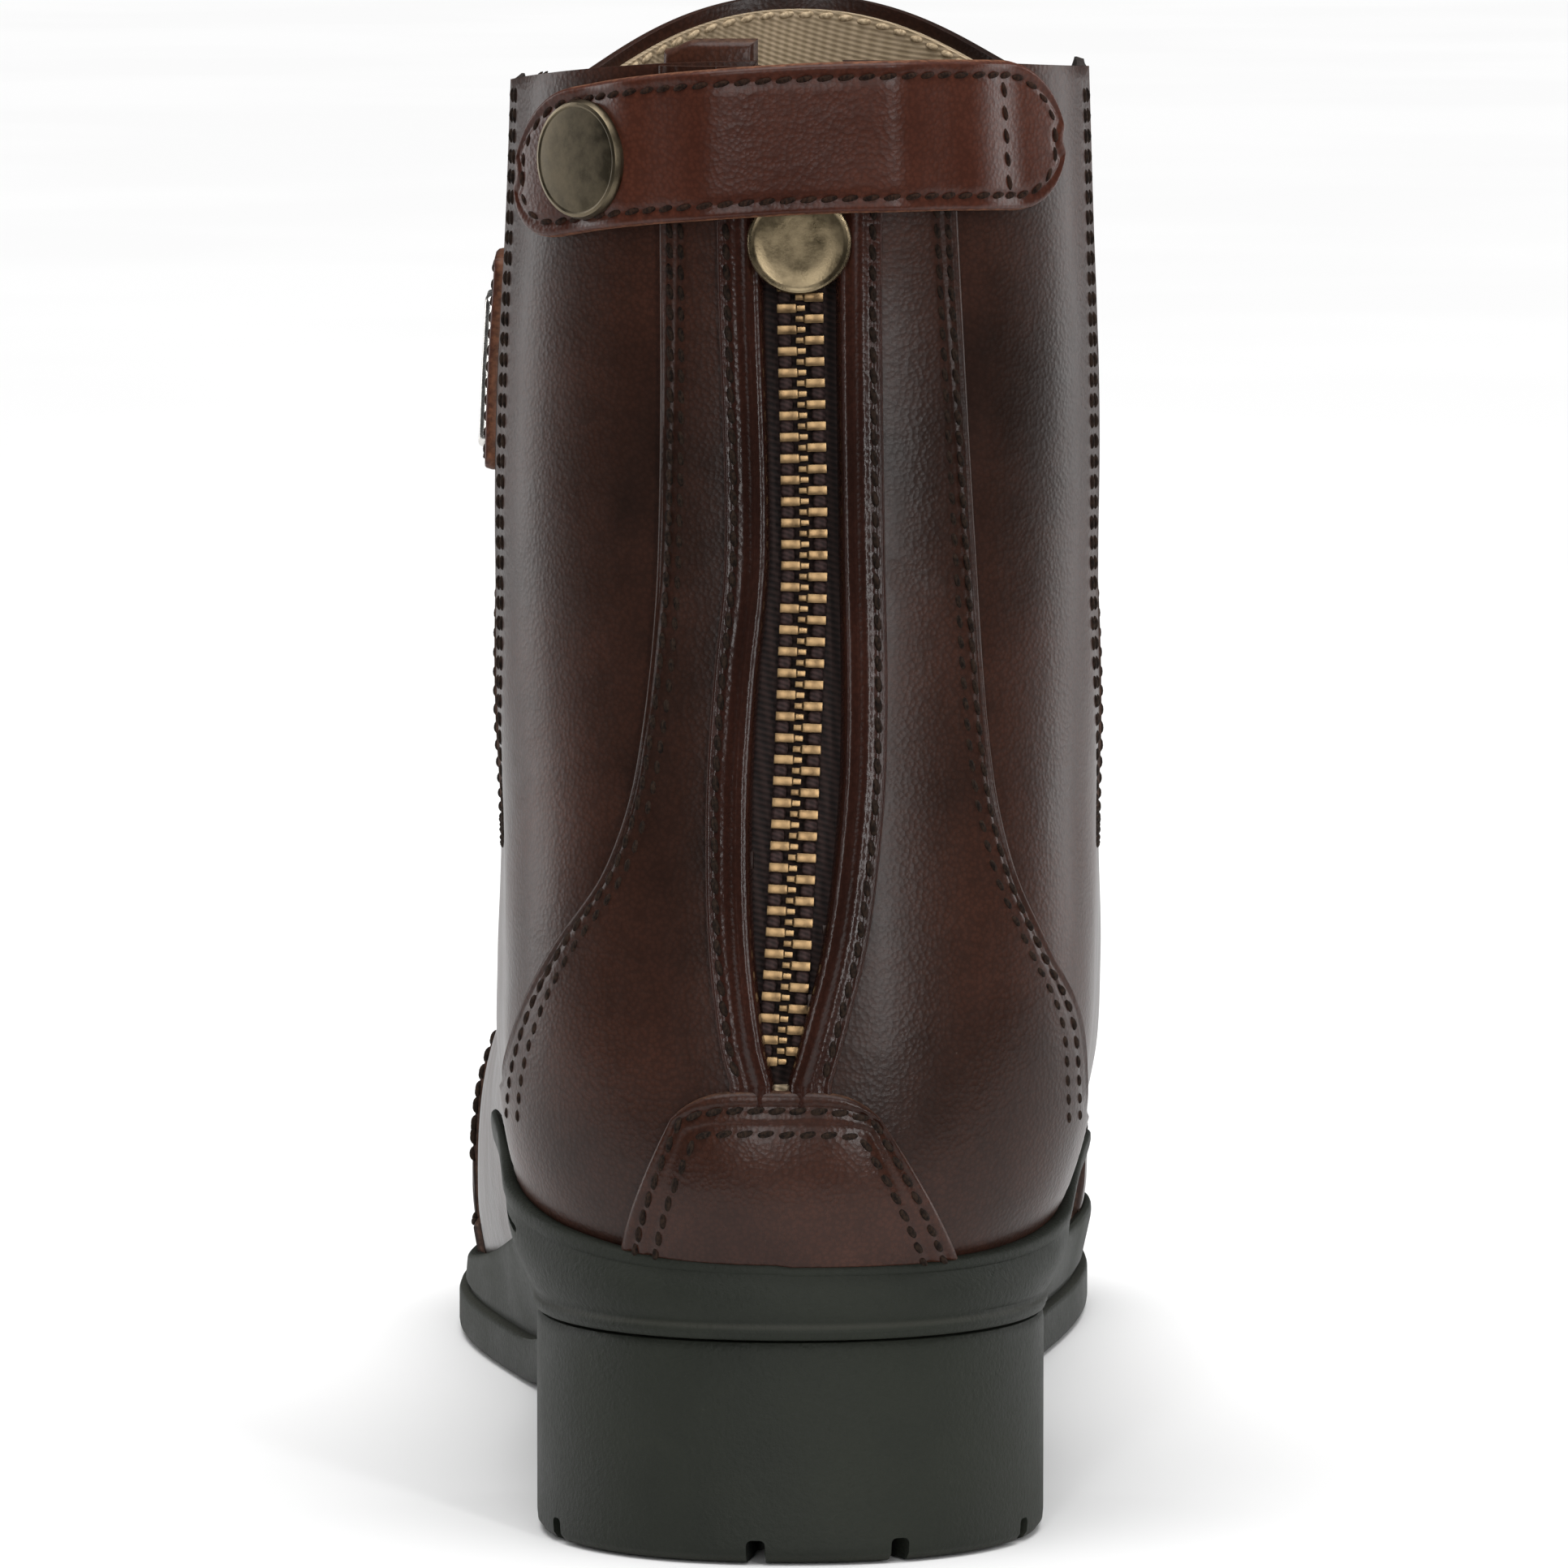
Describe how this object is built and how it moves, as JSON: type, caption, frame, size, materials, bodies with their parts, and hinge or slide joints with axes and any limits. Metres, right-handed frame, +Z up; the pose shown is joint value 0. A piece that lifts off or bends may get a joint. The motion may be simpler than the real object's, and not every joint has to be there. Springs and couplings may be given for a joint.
{
  "type": "paddock boot",
  "caption": "Ankle-high leather riding boot with rear zip, elastic side gussets, snap strap over the zip and a low rubber heel; left foot.",
  "frame": {"origin": "on the floor under the centre of the heel block", "axes": "+Z up, +Y towards the toe, -X towards the outer (lateral) side of the left foot"},
  "size_m": [0.0907, 0.2789, 0.1925],
  "materials": {
    "leather": "satin, waxed",
    "strap_leather": "satin",
    "elastic": "ribbed elastic webbing",
    "tape": "woven zip tape",
    "rubber": "matte",
    "zip_brass": "antique",
    "snap_brass": "dark antique",
    "plate": "plain plate",
    "insole_lining": "matte"
  },
  "bodies": {
    "boot": {"upper": "leather", "toe_cap": "leather", "counter": "leather", "heel_patch": "leather", "zip_facing": "leather", "elastic_lateral": "elastic", "elastic_medial": "elastic", "zip_tape": "tape", "zip_teeth_lateral": "zip_brass", "zip_teeth_medial": "zip_brass", "zip_slider": "snap_brass", "strap": "strap_leather", "strap_snap": "snap_brass", "collar_tab": "strap_leather", "side_tab": "strap_leather", "side_plate": "plate", "sole_unit": "rubber", "heel": "rubber", "insole": "insole_lining"},
    "zip_pull": {"zip_pull": "snap_brass"}
  },
  "joints": [
    {"name": "pull_swing", "type": "hinge", "parent": "boot", "child": "zip_pull", "pos_m": [0.0012, -0.02715, 0.17536], "axis": [-1, 0, 0], "range_deg": [0, 6]}
  ]
}
